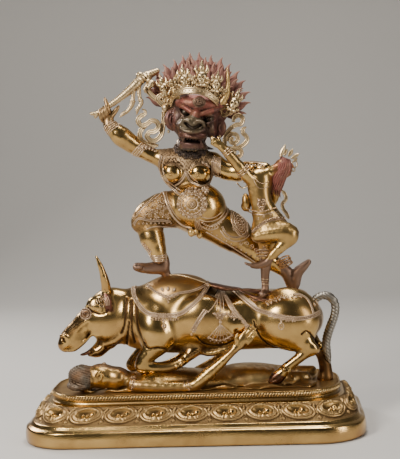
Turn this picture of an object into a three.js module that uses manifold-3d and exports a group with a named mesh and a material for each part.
import * as THREE from 'three';
import { mergeVertices } from 'three/addons/utils/BufferGeometryUtils.js';
import Module from 'manifold-3d';

// A gilt copper group: a bull-headed figure dancing on a crouching buffalo,
// with an attendant, over a lying figure, on an oblong lotus base.
// Millimetres, +Z up, the front of the group faces -Y. The origin is the
// middle of the underside of the base.

const BASE_W = 398;          // base, side to side
const BASE_D = 197;          // base, front to back
const BASE_R = 54;           // corner radius of its plan
const PLINTH_H = 18;         // plain upright face
const LEDGE_H = 23.5;        // top of the sloping ledge
const PETAL_Z0 = 24.4;       // foot of the petal band
const PETAL_Z1 = 41;         // top of the petal band
const COLLAR_H = 48;         // smooth hollow collar
const TOP_H = 53;            // floor the figures stand on
const TOP_W = 345;           // top plate, side to side
const TOP_D = 131;           // top plate, front to back
const PETALS = 24;
const GAP = 0.35;            // left between neighbouring pieces
const CAP = 0.6;             // how far a rounded limb end bulges, in radii

// Limbs are rows of [x, y, z, half width, half depth]; lumps are
// { c: centre, r: half sizes, a: lean in the X-Z plane in degrees }.

// The figure lying on its back under the animal.
const CORPSE = {
  hair: { c: [-134.3, -40, 68.6], r: [14.6, 17, 12.2], a: 20 },
  head: { c: [-110.9, -36, 70.1], r: [19.9, 16, 14.6], a: 0 },
  chin_neck: [[-101.4, -36, 69.3, 12.3, 13], [-88.7, -34, 66.7, 11.2, 12], [-77.4, -30, 63.1, 10, 12]],
  torso: [[-77.1, -24, 61.2, 9.4, 24], [-47.5, -20, 62, 14.2, 31], [-11.8, -16, 60.8, 12.5, 30], [17.7, -8, 58.9, 9.6, 30], [47.4, 0, 57.6, 9, 30]],
  upper_arm: [[-70.7, -45, 61.4, 6.5, 6.5], [-59.8, -47, 59.8, 7, 7], [-32.7, -48, 57.8, 7.1, 7.1], [-8, -48, 57.3, 6.7, 6.7], [-1, -48, 57.9, 6, 6]],
  forearm: [[-4.5, -48, 57.9, 6.3, 6.3], [2.7, -48, 60.1, 6.7, 6.7], [8.7, -48, 64.2, 7.4, 7.4], [18.4, -48, 72.2, 7.6, 7.6], [31.7, -48, 83.1, 6, 6], [43.8, -48, 93.9, 4.6, 4.6], [50.4, -48, 100.2, 4.3, 4.3]],
  palm: [[50.4, -48, 100.2, 4.4, 3.4], [55.8, -47, 106.3, 6.5, 3.2], [60.7, -46, 112.4, 6.5, 3]],
  finger0: [[57.9, -46, 114.3, 2.2, 2.2], [62.7, -45, 120.1, 2, 2], [67.5, -43.5, 125.9, 1.4, 1.4]],
  finger1: [[60.7, -46, 113, 2.2, 2.2], [66.8, -45, 120, 2, 2], [72.8, -43.5, 126.9, 1.4, 1.4]],
  finger2: [[63.3, -46, 111.2, 2.2, 2.2], [70.1, -45, 117.9, 2, 2], [76.8, -43.5, 124.4, 1.4, 1.4]],
  finger3: [[64.6, -46, 108.2, 2.2, 2.2], [71.2, -45, 113.4, 2, 2], [77.7, -43.5, 118.5, 1.4, 1.4]],
  thumb: [[53, -49, 106.2, 2.3, 2.3], [52.7, -50, 112.8, 2.1, 2.1], [55.8, -49, 117.8, 1.4, 1.4]],
  arm_far: [[1.5, 16, 61.7, 7.3, 7.3], [12.7, 18, 68.4, 6.1, 6.1], [26.6, 19, 77.1, 5.1, 5.1], [39.2, 20, 85.9, 4.4, 4.4]],
  leg_a: [[48.2, -16, 61.6, 8.3, 12], [80.4, -18, 60.6, 7.7, 10], [113.6, -14, 59.5, 5.9, 8], [131.5, -12, 59.2, 5.5, 7]],
  leg_b: [[46.9, 16, 59.8, 8.5, 12], [79.9, 18, 59.8, 7.9, 10], [114.1, 18, 60.1, 6.1, 8], [140.8, 18, 60, 5.6, 7]],
};

// The crouching buffalo, head to the left.
const BUFFALO = {
  barrel: [[-65.1, 2, 134, 33.7, 25], [-52.9, 2, 132.4, 39.8, 35], [-34.7, 2, 131.2, 41, 40], [-4.4, 2, 128.5, 39.8, 43], [25.9, 2, 127, 38, 43], [56.1, 2, 127.2, 36.1, 41], [82.7, 2, 127.7, 36.1, 39], [109.1, 2, 126.8, 34.9, 38], [127, 2, 126.9, 27.7, 31], [139, 2, 126.5, 16.9, 20]],
  neck: [[-55.1, 0, 134, 33.7, 30], [-71.9, -2, 134.8, 33.6, 27], [-86.1, -4, 136.8, 32.4, 23], [-97.9, -5, 142.2, 28.8, 21]],
  head: [[-96.7, -5, 143.4, 27.6, 20], [-109, -6, 137.8, 23.3, 19], [-124, -6, 131.6, 17.4, 16], [-137.9, -6, 122.2, 14.1, 13.5], [-149.5, -6, 111.5, 13.2, 14], [-156, -6, 104.9, 9.9, 12.5]],
  jaw: [[-101.6, -6, 113.2, 14.4, 14], [-109.4, -6, 103.6, 9.6, 10.5], [-116.5, -6, 96.4, 7.8, 9], [-120.3, -6, 93.5, 6, 8]],
  horn_near: [[-99.9, -12, 155.5, 6, 6], [-100.9, -18, 168.4, 6.2, 6.2], [-101.5, -24, 182.4, 5.2, 5.2], [-104.4, -27, 197.2, 3.5, 3.5], [-108.8, -28, 209.9, 1.8, 1.8], [-110.3, -28, 213, 0.9, 0.9]],
  horn_far: [[-102.2, 2, 153.5, 6, 6], [-105.3, 8, 165.1, 6.1, 6.1], [-107.9, 14, 178, 5.1, 5.1], [-112, 17, 192.6, 3.4, 3.4], [-116.7, 18, 204.4, 1.7, 1.7], [-118, 18, 207.5, 1, 1]],
  ear_near: [[-100.2, -16, 160.9, 4.8, 3], [-101.4, -22, 165.9, 4.7, 3], [-99.1, -27, 158.8, 4.9, 3], [-98.1, -28, 151.7, 4, 2.4], [-98, -27, 145.5, 1.4, 1.2]],
  ear_far: [[-103.8, 6, 157.9, 4.8, 3], [-107.1, 12, 161.5, 4.9, 3], [-106.5, 17, 152.8, 5.1, 3], [-105.7, 18, 145.2, 4.1, 2.4], [-105.3, 17, 139.1, 1.5, 1.2]],
  shoulder_near: { c: [-46.5, -24, 126.7], r: [18.9, 16, 29.5], a: -6 },
  shoulder_far: { c: [-52.7, 26, 118.7], r: [19.6, 16, 30.7], a: -6 },
  haunch_near: { c: [113.8, -18, 130.5], r: [38, 23, 36.8], a: 0 },
  haunch_far: { c: [116.4, 22, 125.3], r: [36.7, 22, 35.5], a: 0 },
  fore_near_upper: [[-40.2, -32, 113.5, 14.1, 11], [-45.3, -34, 102.1, 11.7, 10], [-56.4, -35, 90.6, 8.9, 9], [-59.8, -35, 81.7, 8.2, 8]],
  fore_near_lower: [[-59.8, -35, 81.7, 8.2, 8], [-46.2, -35, 79, 6.6, 6.5], [-28.6, -33, 78.7, 6.1, 6], [-15.5, -31, 83.3, 5.9, 6], [-8.8, -30, 88.3, 6.3, 6.2], [-1, -29, 93.3, 6.6, 6.4], [3.9, -29, 95, 5.4, 5]],
  fore_far_upper: [[-50.4, 32, 102.5, 14.8, 11], [-60.2, 36, 89.5, 12.4, 10], [-74.9, 38, 76.9, 9.4, 9], [-81.6, 38, 68.8, 7.9, 8]],
  fore_far_lower: [[-81.6, 38, 68.8, 7.9, 8], [-60.3, 38, 64.4, 6.9, 6.5], [-41.2, 36, 66.2, 6.4, 6], [-26.9, 34, 72.5, 6.2, 6], [-17.8, 33, 77.5, 6.9, 6]],
  hind_near_upper: [[115.5, -26, 116.2, 22.4, 17], [128, -30, 105.9, 14.7, 13], [138.1, -33, 99, 8.9, 9], [142.1, -34, 95.5, 6.8, 7]],
  hind_near_lower: [[141.5, -34, 95.6, 6.6, 7], [129.6, -35, 89, 6.1, 6.4], [116.4, -36, 79.5, 5.8, 6], [109.2, -36, 73.8, 6.3, 6.2], [104.4, -36, 68.6, 7, 6.8], [98.3, -36, 63.4, 7.9, 7.6], [91.2, -37, 59.3, 4, 6]],
  hind_far_upper: [[120.7, 26, 107.3, 22.1, 17], [134.9, 24, 96.1, 14.1, 12], [146.6, 16, 89.8, 8.5, 9], [151.1, 10, 85.9, 6.8, 7]],
  hind_far_lower: [[151.1, 10, 85.9, 6.8, 7], [153.6, 6, 76.8, 6.3, 6], [155.5, 2, 67.8, 6.5, 6.4], [156.2, -1, 62.3, 7.5, 7], [156.1, -3, 56.6, 8.6, 8]],
  saddle: { c: [-16.7, 0, 161.5], r: [43.3, 31, 24.1], a: 1 },
};

// The tail.
const TAIL = {
  tail: [[144.3, 2, 143.9, 4.6, 4.6], [149.3, 2, 150.6, 4.7, 4.7], [157.7, 1, 153.6, 4.6, 4.6], [165.9, 0, 150.6, 4.7, 4.7], [170.6, 0, 141.6, 4.8, 4.8], [169.4, 0, 129.5, 4.9, 4.9], [164.3, 0, 116.4, 5.2, 5.2], [159.6, 0, 103.2, 5.2, 5.2], [158.3, 0, 92.4, 4.9, 4.9], [160, 0, 80.8, 3.8, 3.8], [161.6, 0, 71.6, 1.6, 1.6]],
};

// The dancing bull-headed figure.
const YAMA = {
  pelvis: { c: [12.7, 2, 246.8], r: [26.5, 23, 16.9], a: 8 },
  belly: { c: [10.7, -8, 266.6], r: [34.7, 28, 28.7], a: 8 },
  chest: { c: [-0.3, 2, 308.5], r: [31.3, 21, 24.1], a: 4 },
  shoulders: [[-26.1, 2, 324, 11.4, 13], [-0.8, 3, 326.5, 11.5, 15], [30.1, 2, 318.1, 11.4, 13]],
  breast_r: { c: [-16.9, -15, 304.8], r: [11.9, 9, 11.3], a: 0 },
  breast_l: { c: [15.2, -15, 304.7], r: [12.5, 9, 11.9], a: 0 },
  neck: [[4.2, -1, 323.9, 19.2, 18], [6.3, -5, 338.1, 18, 17]],
  cranium: { c: [14.1, -6, 379.2], r: [29.9, 24, 26.3], a: 10 },
  muzzle: { c: [10.5, -24, 358.8], r: [19.5, 15, 15.3], a: 8 },
  jaw: { c: [7.6, -19, 342.7], r: [16.6, 15, 11.3], a: 6 },
  ear_r: [[-7.2, -10, 374.1, 4.8, 3], [-16, -11, 373.3, 6.6, 3], [-18.7, -12, 363.9, 5, 2.6]],
  ear_l: [[34, -10, 366.4, 4.8, 3], [42.8, -11, 362.4, 6.6, 3], [43, -12, 353, 5, 2.6]],
  horn_r: [[-5.2, -18, 388.9, 4.5, 4.5], [-8.2, -19, 399.5, 3.9, 3.9], [-9.8, -19, 408.9, 3.1, 3.1], [-7.8, -17, 418.3, 2.1, 2.1], [-1.5, -15, 425.7, 0.8, 0.8]],
  horn_l: [[36.3, -18, 381.2, 4.7, 4.7], [45.4, -20, 386.5, 4.3, 4.3], [51.6, -20, 395.6, 3.4, 3.4], [53.7, -19, 406, 2.6, 2.6], [53.9, -17, 417.7, 1.8, 1.8], [53.6, -15, 427.8, 0.8, 0.8]],
  arm_r_upper: [[-24.9, 1, 322.7, 11.1, 11.1], [-40.2, 0, 328.2, 9.1, 9.1], [-55.1, -3, 336.6, 8.9, 8.9]],
  arm_r_fore: [[-56.3, -3, 337.2, 8.9, 8.9], [-65.3, -5, 344.1, 11, 11], [-75.9, -8, 352.9, 12.2, 12.2], [-84.3, -10, 361.1, 9.1, 9.1], [-89.5, -11, 367, 7.2, 7.2]],
  hand_r: [[-90.4, -11, 368.3, 6.2, 6.2], [-92.7, -12, 377.8, 7.6, 6], [-93.5, -12, 386.7, 6.7, 6.5]],
  index_r: [[-89.3, -16, 386.9, 2.7, 2.7], [-90.3, -15, 393.5, 2.5, 2.5], [-91.8, -13, 399, 1.9, 1.9]],
  thumb_r: [[-88.5, -9, 376.5, 3.8, 3.8], [-81.4, -6, 383.4, 3.4, 3.4], [-76.6, -4, 388.6, 2.2, 2.2]],
  arm_l_upper: [[31.3, 1, 316.8, 12, 12], [46.6, -2, 307.3, 11.3, 11.3], [60.9, -5, 304.4, 10.5, 10.5]],
  arm_l_fore: [[61, -5, 305, 10.5, 10.5], [73.1, -10, 308.1, 9.5, 9.5], [83.8, -15, 309, 7.8, 7.8], [88.6, -18, 308.2, 7.1, 7.1]],
  fist_l: [[88.6, -18, 308.2, 7.1, 7.1], [93.8, -20, 307.7, 7.3, 7]],
  thigh_r: [[-1.1, 0, 258.3, 19.2, 19], [-25.4, -8, 263.8, 21.5, 19], [-44, -14, 260.1, 17.3, 16], [-55, -16, 251.7, 12.5, 12]],
  shin_r: [[-55.1, -16, 249.3, 11.9, 11], [-46.4, -13, 238, 12.1, 11], [-41.9, -9, 227.9, 12.2, 11], [-39.1, -6, 216.8, 9.6, 9], [-36.8, -4, 206.8, 7.7, 7]],
  foot_r: [[-33.8, -4, 204.3, 7.9, 7.2], [-34.8, -4, 195.9, 8.6, 7.6], [-46.6, -7, 194.4, 6.7, 8.2], [-57.1, -10, 194.4, 5.5, 8.6], [-64.7, -12, 196.1, 4.4, 8]],
  thigh_l: [[24.9, 0, 247.7, 22.9, 20], [47.2, 1, 234.8, 22.9, 20], [66.9, 4, 218.7, 17.5, 16], [80.7, 6, 206, 13.1, 12]],
  shin_l: [[80.7, 6, 206, 13.1, 12], [92.4, 8, 197.5, 10.9, 10], [105.3, 10, 188.4, 8.5, 8], [112.9, 10, 182.7, 7.3, 7]],
  foot_l: [[114.7, 10, 181.4, 7.5, 7], [121.7, 10, 165.4, 7, 7], [126.6, 9, 179.9, 6.8, 8], [134.1, 8, 187.4, 5.3, 8], [140.8, 7, 193.5, 3.5, 7.4]],
  heel_r: [[-34.8, -4, 195.9, 7.2, 6.5], [-29.5, -2, 183.4, 5.5, 5.5]],
  genital: { c: [4.8, -18, 235.9], r: [5.5, 6, 4.7], a: 0 },
};

// The small attendant at its side.
const CONSORT = {
  torso: [[85.9, -31, 294, 14.7, 11], [86.1, -32, 282.4, 12.9, 11], [87.8, -32, 268.4, 12.4, 10.5], [92.5, -31, 254.2, 15.3, 13], [96.7, -30, 241.1, 18.8, 14]],
  arm_r_upper: [[77.9, -36, 295.6, 7.9, 7.9], [71.4, -40, 302.3, 7.5, 7.5], [64.9, -43, 310.7, 6.5, 6.5]],
  arm_r_fore: [[64.3, -43, 311.3, 6.3, 6.3], [56.2, -46, 322, 6, 6], [48.7, -48, 331.5, 5, 5], [45.4, -49, 335.1, 4.3, 4.3]],
  hand_r: [[44.9, -49, 335.7, 4.4, 3.6], [40.5, -50, 339.3, 4.9, 3.4], [36, -50, 342.9, 3.2, 3]],
  arm_l: [[95.1, -26, 292.4, 7.5, 7.5], [102.8, -20, 281.3, 6.6, 6.6], [100, -14, 269.4, 5.7, 5.7], [89.2, -10, 266.1, 4.8, 4.8]],
  neck: [[89.5, -30, 297.3, 7.6, 7], [97.8, -28, 302.8, 6.6, 6], [106, -27, 305.9, 7.1, 7]],
  head: { c: [113.1, -22, 307.3], r: [12.4, 13, 13.6], a: -20 },
  hair: [[112.7, -28, 313.8, 11.2, 9], [109.4, -32, 302.4, 10.8, 8], [105.5, -34, 291, 8.7, 6], [103.3, -35, 278.4, 6.3, 4]],
  hips: { c: [97.7, -28, 237.4], r: [22.4, 16, 11.8], a: 0 },
  thigh_l: [[81.8, -36, 229.8, 7.2, 8], [96.4, -39, 233, 10, 10], [111.5, -40, 234.3, 11.7, 11], [118.9, -40, 231.7, 10.7, 10]],
  shin_l: [[119.3, -40, 227, 8.9, 8], [109.8, -41, 218.8, 7, 7], [100.2, -41, 209.8, 5.6, 5.5], [93.6, -41, 202.5, 4.4, 4.5]],
  foot_l: [[92.1, -41, 199.6, 5, 5], [81.2, -42, 196, 4.1, 5], [72.6, -43, 196.9, 3.4, 5], [68, -43, 198.9, 2.6, 4.6]],
  leg_r: [[93.8, -22, 228.9, 13, 12], [92.6, -20, 212.2, 10.2, 9], [90, -18, 195.5, 6.4, 6], [88.5, -17, 181.2, 5, 4.8], [88.3, -17, 169.3, 4, 4]],
  foot_r: [[88.2, -17, 166.9, 4.3, 4.2], [87.3, -19, 160.5, 5, 4.6], [85, -27, 162.4, 4, 4.6]],
};

// Flame hair: the tips of the outer and the inner row of locks.
const HAIR_C = [15, 7, 392.7];
const HAIR_OUT = [[-47.1, 396.8], [-45.4, 407.5], [-43.1, 418.1], [-37.8, 428], [-26.6, 435.8], [-14.4, 441.1],
  [-3.3, 445.9], [5.2, 449.6], [13.4, 445.1], [22.8, 449.4], [30.1, 443.1], [37.3, 444.5], [49.7, 441],
  [59, 432.9], [68.7, 422.9], [75, 410.8], [79.6, 397.3], [79.1, 383.9], [72.6, 371.1]];

// Crown: band over the brow and five finials.
const CROWN_BAND = [[-24, -12, 399], [-16, -21, 406], [-5.5, -28.5, 409.5], [5.8, -32, 411.5], [18.7, -32.5, 410], [29.9, -30, 404.5], [39.5, -23, 395.5], [46, -14, 386]];
const FINIALS = [[0.5, -28, 417.5], [18.5, -31, 419], [35.5, -27, 410.5], [-23.5, -15, 405.5], [48, -16, 392.5]];

// Bone staff with a limp little figure at its head.
const CLUB = [[-111.3, -12, 378, 2.4, 2.4], [-103.3, -12, 382.4, 3, 3], [-92.2, -12, 387.8, 3.1, 3.1], [-77.8, -10, 396.7, 3.8, 3.8], [-63.3, -7, 408, 5, 5],
  [-53.8, -4, 415.4, 6.2, 5.5], [-45.6, 0, 421.8, 5.6, 5], [-37.4, 3, 425.8, 4.6, 4.4], [-29.3, 6, 430.3, 3.4, 3.4]];
const CLUB_LEG_A = [[-58.4, -6, 412, 2.8, 2.8], [-60.7, -7, 400.2, 2.5, 2.5], [-61.6, -8, 389.6, 2.6, 2.6], [-67.9, -8, 382.8, 2.3, 2.3], [-74.6, -9, 377.1, 1.8, 1.8]];
const CLUB_LEG_B = [[-53.9, -4, 411.9, 2.8, 2.8], [-52.5, -5, 401.1, 2.5, 2.5], [-51, -6, 392.7, 2.5, 2.5], [-53.7, -6, 384.6, 2.1, 2.1], [-56.3, -7, 378.1, 1.7, 1.7]];
const CLUB_ARM = [[-45, -1, 418, 2.8, 2.8], [-48.5, -4, 422.3, 2.8, 2.8], [-52.6, -5, 424.4, 3.8, 3.8]];
const CLUB_SKULL = { c: [-35.8, -3, 409.5], r: [5.6, 5, 6], a: 0 };
const CLUB_NECK = [[-42, -1, 419, 3, 3], [-38.5, -2.5, 413.5, 2.6, 2.6], [-36.5, -3, 410, 2.6, 2.6]];

// Scarf ends: flat ribbons, [x, y, z] along the middle.
const RIBBON_W = 5.2;
const RIBBON_T = 3;
const SCARF_R = [[-21.5, 0, 392], [-27, 0, 387], [-24.6, -0.5, 378.7], [-24.6, -1, 365.6], [-28, -2, 354.2], [-38, -2.4, 346.2], [-48.5, -2.8, 348.6], [-53.6, -3, 355.6]];
const SCARF_R_CURL = [[-53.6, -3, 355.6], [-49, -3.4, 361.6], [-39, -4, 359.4], [-32.8, -4, 364.8], [-38.6, -4, 371.4], [-48, -3.6, 366.8], [-55.8, -3, 371], [-55.6, -3, 378.8], [-46.6, -3, 383]];
const SCARF_L = [[47, 4, 376], [49, 2, 369.6], [46.8, 0.6, 357.8], [49, 0, 344.5], [56, 0, 334.4], [65.4, -0.6, 336.4], [69.2, -1, 346.2], [63.2, -1.4, 353.6], [54.6, -2, 350.6]];
const SCARF_L_CURL = [[55.6, -1.6, 350.4], [58.4, -2, 358.4], [66.2, -2, 361.4], [71.6, -2, 366.5]];

const wasm = await Module();
wasm.setup();

// three.js geometry -> closed solid
function solid(geometry) {
  let g = geometry.clone();
  g.deleteAttribute('normal');
  g.deleteAttribute('uv');
  g = mergeVertices(g, 1e-4);
  const m = new wasm.Manifold(new wasm.Mesh({
    numProp: 3,
    vertProperties: new Float32Array(g.attributes.position.array),
    triVerts: new Uint32Array(g.index.array),
  }));
  return m;
}

function union(list) {
  let m = list[0];
  for (const s of list.slice(1)) m = m.add(s);
  return m;
}

// the largest connected piece
function main(m) {
  const parts = m.decompose();
  let best = parts[0];
  for (const p of parts) if (p.volume() > best.volume()) best = p;
  return best;
}

// A limb: a sphere whose rings are spread along a curve, with an oval section.
function limb(points, grow = 0, sides = 8, perSpan = 1) {
  const curve = new THREE.CatmullRomCurve3(points.map((p) => new THREE.Vector3(p[0], p[1], p[2])));
  const spans = (points.length - 1) * perSpan;
  const rings = spans + 3;
  const g = new THREE.SphereGeometry(1, sides, rings - 1);
  const pos = g.attributes.position;
  const depth = new THREE.Vector3(0, 1, 0);
  for (let j = 0; j < rings; j++) {
    const pole = j === 0 || j === rings - 1;
    const push = pole ? (j === 0 ? -CAP : CAP) : 0;
    const k = pole ? 0 : 1;
    const s = Math.min(1, Math.max(0, (j - 1) / spans));
    const c = curve.getPoint(s);
    const t = curve.getTangent(Math.min(0.999, Math.max(0.001, s)));
    const f = s * (points.length - 1);
    const i = Math.min(points.length - 2, Math.floor(f));
    const ra = THREE.MathUtils.lerp(points[i][3], points[i + 1][3], f - i) + grow;
    const rb = THREE.MathUtils.lerp(points[i][4], points[i + 1][4], f - i) + grow;
    const b = depth.clone().addScaledVector(t, -depth.dot(t)).normalize();
    const a = new THREE.Vector3().crossVectors(b, t).normalize();
    c.addScaledVector(t, push * Math.min(ra, rb));
    for (let i2 = 0; i2 <= sides; i2++) {
      const phi = (i2 / sides) * Math.PI * 2;
      const v = c.clone()
        .addScaledVector(a, -Math.cos(phi) * ra * k)
        .addScaledVector(b, Math.sin(phi) * rb * k);
      pos.setXYZ(j * (sides + 1) + i2, v.x, v.y, v.z);
    }
  }
  return solid(g);
}

// A lump: an ellipsoid leaning in the X-Z plane.
function lump(e, grow = 0, sides = 12, rings = 8) {
  const g = new THREE.SphereGeometry(1, sides, rings);
  g.scale(e.r[0] + grow, e.r[1] + grow, e.r[2] + grow);
  g.rotateY(THREE.MathUtils.degToRad(e.a));
  g.translate(e.c[0], e.c[1], e.c[2]);
  return solid(g);
}

// All the limbs and lumps of one table as one solid.
function figure(table, grow, sidesOf) {
  return union(Object.entries(table).map(([name, s]) => {
    const n = sidesOf(name);
    return Array.isArray(s)
      ? limb(s, grow, n[0])
      : lump(s, grow, n[0], n[1] ?? 6);
  }));
}

// A flat ribbon along a curve.
function ribbon(points, grow = 0, steps = 2) {
  const curve = new THREE.CatmullRomCurve3(points.map((p) => new THREE.Vector3(...p)));
  const w = RIBBON_W / 2 + grow;
  const t = RIBBON_T / 2 + grow;
  const s = new THREE.Shape();
  s.moveTo(-w, -t);
  s.lineTo(w, -t);
  s.lineTo(w, t);
  s.lineTo(-w, t);
  s.closePath();
  return solid(new THREE.ExtrudeGeometry(s, { steps: (points.length - 1) * steps, bevelEnabled: false, extrudePath: curve }));
}

// Plan of the base: an oblong with round corners, as n points.
function plan(w, d, r, perCorner) {
  const out = [];
  const cx = w / 2 - r;
  const cy = d / 2 - r;
  const centres = [[cx, cy], [-cx, cy], [-cx, -cy], [cx, -cy]];
  centres.forEach(([x, y], q) => {
    for (let i = 0; i < perCorner; i++) {
      const a = (q + i / (perCorner - 1)) * Math.PI / 2;
      out.push([x + r * Math.cos(a), y + r * Math.sin(a)]);
    }
  });
  return out;
}

// Point and outward direction at a share of the way round the plan.
function along(w, d, r, share) {
  const sx = w - 2 * r;
  const sy = d - 2 * r;
  const q = Math.PI * r / 2;
  const legs = [sx / 2, q, sy, q, sx, q, sy, q, sx / 2];
  let s = ((share % 1) + 1) % 1 * legs.reduce((a, b) => a + b, 0);
  let k = 0;
  while (k < 8 && s > legs[k]) { s -= legs[k]; k++; }
  const corner = [[sx / 2, -sy / 2], [sx / 2, sy / 2], [-sx / 2, sy / 2], [-sx / 2, -sy / 2]];
  if (k === 0) return { x: s, y: -d / 2, a: -Math.PI / 2 };
  if (k === 2) return { x: w / 2, y: -sy / 2 + s, a: 0 };
  if (k === 4) return { x: sx / 2 - s, y: d / 2, a: Math.PI / 2 };
  if (k === 6) return { x: -w / 2, y: sy / 2 - s, a: Math.PI };
  if (k === 8) return { x: -sx / 2 + s, y: -d / 2, a: -Math.PI / 2 };
  const c = corner[(k - 1) / 2];
  const a = -Math.PI / 2 + ((k - 1) / 2) * Math.PI / 2 + s / r;
  return { x: c[0] + r * Math.cos(a), y: c[1] + r * Math.sin(a), a };
}

function base(grow = 0) {
  const per = 6;
  // rows of [width, depth, corner radius, height], from the top down
  const rows = [
    [TOP_W, TOP_D, 51, TOP_H], [TOP_W, TOP_D, 51, COLLAR_H + 1], [TOP_W - 4, TOP_D - 4, 50, COLLAR_H - 1],
    [TOP_W + 12, TOP_D + 12, 51, PETAL_Z1], [TOP_W + 34, TOP_D + 46, 50, PETAL_Z0],
    [BASE_W - 12, BASE_D - 13, 51, LEDGE_H], [BASE_W, BASE_D, BASE_R, PLINTH_H], [BASE_W, BASE_D, BASE_R, 0],
  ];
  const n = per * 4;
  const g = new THREE.SphereGeometry(1, n, rows.length + 1);
  const pos = g.attributes.position;
  for (let j = 0; j <= rows.length + 1; j++) {
    const row = rows[Math.min(rows.length - 1, Math.max(0, j - 1))];
    const ring = plan(row[0] + 2 * grow, row[1] + 2 * grow, row[2] + grow, per);
    const pole = j === 0 || j === rows.length + 1;
    for (let i = 0; i <= n; i++) {
      const [x, y] = pole ? [0, 0] : ring[i % n];
      pos.setXYZ(j * (n + 1) + i, x, y, row[3] + (row[3] > 0 ? grow : -grow));
    }
  }
  return solid(g);
}

// One plump petal, lying back against the sloping band.
function petal(share) {
  const p = along(TOP_W + 21, TOP_D + 27, 51, share);
  const g = new THREE.SphereGeometry(1, 6, 4);
  g.scale(6.8, 18.6, 12.2);
  g.rotateY(THREE.MathUtils.degToRad(-28));
  g.rotateZ(p.a);
  g.translate(p.x, p.y, (PETAL_Z0 + PETAL_Z1) / 2 + 0.6);
  return solid(g);
}

function lotusBase() {
  const petals = Array.from({ length: PETALS }, (_, i) => petal(i / PETALS));
  return main(base().add(union(petals)));
}

// Flame hair: a rounded mass with a row of tapering locks round it.
function hair(grow = 0) {
  const mass = lump({ c: [15, 9, 396], r: [47.5, 15.8, 39.5], a: 0 }, grow, 12, 6);
  const locks = HAIR_OUT.map(([x, z], i) => {
    const dx = x - HAIR_C[0];
    const dz = z - HAIR_C[2];
    const len = Math.hypot(dx, dz);
    const at = (f, lift) => [HAIR_C[0] + dx * f, HAIR_C[1] + lift, HAIR_C[2] + dz * f + Math.sin(f * Math.PI) * 2.2];
    const y = i % 2 ? 1.5 : -1.5;
    return limb([[...at(0.62, y), 6.6, 6.4], [...at(0.82, y), 5, 4.6], [...at(1 - 1.2 / len, y), 1, 1]], grow, 4);
  });
  return main(union([mass, ...locks]));
}

function crown(grow = 0) {
  const band = limb(CROWN_BAND.map((p) => [...p, 4.4, 2.6]), grow, 6);
  const tops = FINIALS.flatMap((p) => [
    lump({ c: [p[0], p[1], p[2] - 3], r: [5.8, 5.2, 6.4], a: 0 }, grow, 6, 4),
    lump({ c: [p[0] + 0.4, p[1] + 1, p[2] + 4], r: [3.6, 3.6, 5.6], a: 0 }, grow, 4, 4),
  ]);
  return union([band, ...tops]);
}

function club(grow = 0) {
  return union([
    limb(CLUB, grow, 6), limb(CLUB_LEG_A, grow, 5), limb(CLUB_LEG_B, grow, 5),
    limb(CLUB_ARM, grow, 5), limb(CLUB_NECK, grow, 5), lump(CLUB_SKULL, grow, 6, 5),
  ]);
}

const scarfRight = (grow = 0) => union([ribbon(SCARF_R, grow), ribbon(SCARF_R_CURL, grow)]);
const scarfLeft = (grow = 0) => union([ribbon(SCARF_L, grow), ribbon(SCARF_L_CURL, grow)]);

// facets round each limb, and rings of each lump
const buffaloSides = (n) => (n === 'barrel' ? [11] : /neck|head|haunch|shoulder|saddle/.test(n) ? [9, 6] : /horn|ear/.test(n) ? [5] : [6]);
const yamaSides = (n) => (/belly|pelvis|cranium|chest/.test(n) ? [9, 6] : /thigh|shoulders|neck/.test(n) ? [7] : /muzzle|jaw|breast/.test(n) ? [7, 5] : /horn|ear|index|thumb|genital/.test(n) ? [4, 4] : [6]);
const smallSides = (n) => (/finger|thumb/.test(n) ? [4] : /hand|foot|palm|arm|leg|shin|neck/.test(n) ? [5] : /torso/.test(n) ? [7] : [6, 5]);

const buffalo = (g = 0) => figure(BUFFALO, g, buffaloSides);
const yama = (g = 0) => figure(YAMA, g, yamaSides);
const consort = (g = 0) => figure(CONSORT, g, smallSides);
const corpse = (g = 0) => figure(CORPSE, g, smallSides);
const tail = (g = 0) => figure(TAIL, g, () => [6]);

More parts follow.
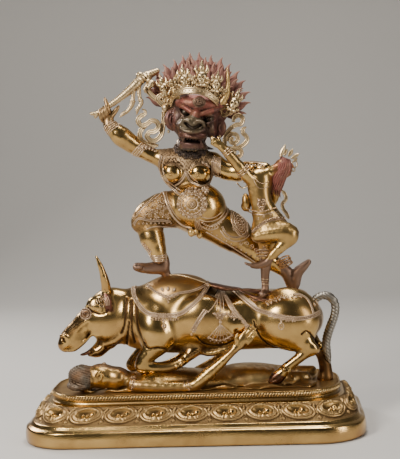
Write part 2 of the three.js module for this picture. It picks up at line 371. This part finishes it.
const bodies = {};
bodies.lotus_base = lotusBase();
bodies.buffalo = main(buffalo().subtract(base(GAP)));
bodies.corpse = main(corpse().subtract(base(GAP)).subtract(buffalo(GAP)));
bodies.buffalo_tail = main(tail().subtract(buffalo(GAP)));
bodies.yama = main(yama().subtract(buffalo(GAP)).subtract(club(GAP)));
bodies.consort = main(consort().subtract(yama(GAP)).subtract(buffalo(GAP)));
bodies.club = main(club());
bodies.flame_hair = main(hair().subtract(yama(GAP)).subtract(club(GAP)));
bodies.skull_crown = main(crown().subtract(yama(GAP)).subtract(hair(GAP)));
bodies.scarf_right = main(scarfRight().subtract(yama(GAP)).subtract(hair(GAP)).subtract(club(GAP)));
bodies.scarf_left = main(scarfLeft().subtract(yama(GAP)).subtract(hair(GAP)).subtract(consort(GAP)));

const LOOKS = {
  lotus_base: [0xc9a055, 0.38, 1],
  corpse: [0xb98f4c, 0.42, 1],
  buffalo: [0xcfa95c, 0.26, 1],
  buffalo_tail: [0x8f8f88, 0.4, 0.9],
  yama: [0xc99b4e, 0.28, 1],
  consort: [0xc4964e, 0.33, 1],
  club: [0xd6b682, 0.42, 0.8],
  flame_hair: [0xa8635a, 0.7, 0.2],
  skull_crown: [0xd3b174, 0.4, 0.9],
  scarf_right: [0xcfae6c, 0.42, 0.9],
  scarf_left: [0xcfae6c, 0.42, 0.9],
};

const group = new THREE.Group();
for (const [name, body] of Object.entries(bodies)) {
  const m = body.getMesh();
  const g = new THREE.BufferGeometry();
  const xyz = new Float32Array(m.numVert * 3);
  for (let i = 0; i < m.numVert; i++) {
    for (let k = 0; k < 3; k++) xyz[i * 3 + k] = m.vertProperties[i * m.numProp + k];
  }
  g.setAttribute('position', new THREE.BufferAttribute(xyz, 3));
  g.setIndex(new THREE.BufferAttribute(new Uint32Array(m.triVerts), 1));
  g.computeVertexNormals();
  const [color, roughness, metalness] = LOOKS[name];
  const mesh = new THREE.Mesh(g, new THREE.MeshStandardMaterial({ color, roughness, metalness }));
  mesh.name = name;
  group.add(mesh);
}

export default group;
